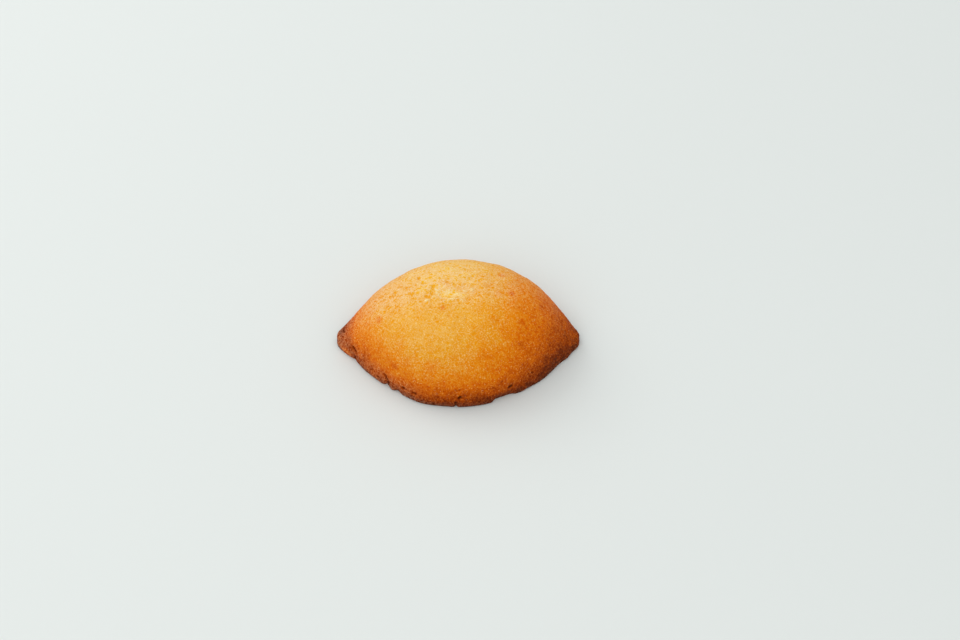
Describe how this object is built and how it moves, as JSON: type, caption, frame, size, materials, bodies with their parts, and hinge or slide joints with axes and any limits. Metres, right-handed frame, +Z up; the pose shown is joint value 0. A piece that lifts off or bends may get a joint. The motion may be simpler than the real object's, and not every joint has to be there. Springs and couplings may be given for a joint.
{
  "type": "lemon cake",
  "caption": "Small uncut sponge cake moulded as half a lemon, with blunt tips and a browned, nicked rim, resting on its flat side.",
  "frame": {"origin": "middle of the flat underside, on the surface the cake stands on", "axes": "+X from the left tip to the right tip, +Y from the front to the back, +Z up out of the flat side"},
  "size_m": [0.0808, 0.0549, 0.0254],
  "materials": {
    "baked_sponge": "golden baked crumb, matte to softly satin, browned dark along the rim and the tips"
  },
  "bodies": {
    "root": {"lemon_cake": "baked_sponge"}
  },
  "joints": []
}
